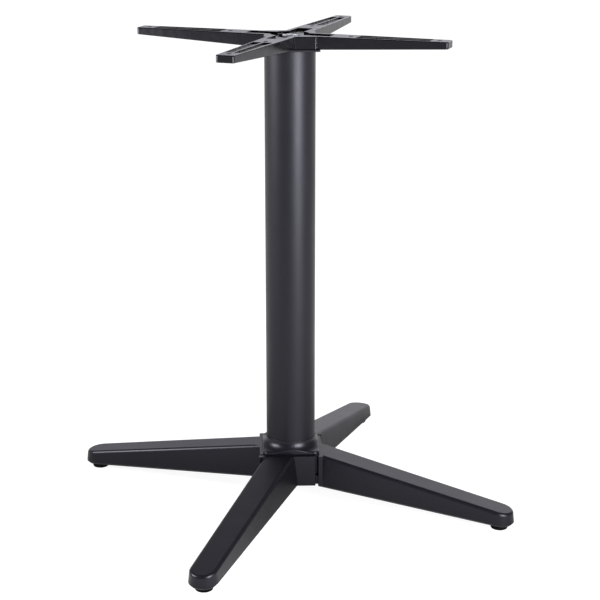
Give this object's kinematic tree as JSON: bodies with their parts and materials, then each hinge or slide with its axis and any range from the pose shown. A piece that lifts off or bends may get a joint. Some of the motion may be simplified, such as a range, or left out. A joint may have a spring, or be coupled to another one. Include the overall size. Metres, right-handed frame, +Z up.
{
  "type": "table base",
  "caption": "Pedestal table base with a round column, splayed tapering legs on levelling feet and a cross-shaped top spider with screw holes for a table top.",
  "frame": {"origin": "on the floor, under the middle of the column", "axes": "+Z up along the column; one leg and one arm lie along +X, the others a quarter turn apart"},
  "size_m": [0.7268, 0.7268, 0.735],
  "materials": {
    "column_tube": "satin powder coat, black powder coat on steel tube",
    "base_collar": "satin powder coat, black powder coat on cast iron",
    "hub_core": "satin powder coat, black powder coat on cast iron",
    "legs": "satin powder coat, black powder coat on cast iron",
    "column_top_plate": "satin powder coat, black powder coat on steel plate",
    "spider": "semi-gloss powder coat, black powder coat on cast iron",
    "zinc_steel": "bright zinc plate, zinc plated steel",
    "black_steel": "black oxide, blackened steel",
    "pad_plastic": "matt moulded, black nylon"
  },
  "bodies": {
    "root": {"column_tube": "column_tube", "base_collar": "base_collar", "hub_core": "hub_core", "column_top_plate": "column_top_plate", "top_spider": "spider", "spider_lock_screw": "black_steel", "tie_rod": "zinc_steel", "rod_top_nut": "zinc_steel", "rod_bottom_nut": "zinc_steel", "rod_top_washer": "zinc_steel", "rod_bottom_washer": "zinc_steel", "leg_bolts": "zinc_steel", "leg_bolt_washers": "zinc_steel", "foot_studs": "zinc_steel", "leg_right": "legs", "foot_pad_right": "pad_plastic", "leg_back": "legs", "foot_pad_back": "pad_plastic", "leg_left": "legs", "foot_pad_left": "pad_plastic", "leg_front": "legs", "foot_pad_front": "pad_plastic"}
  },
  "joints": []
}
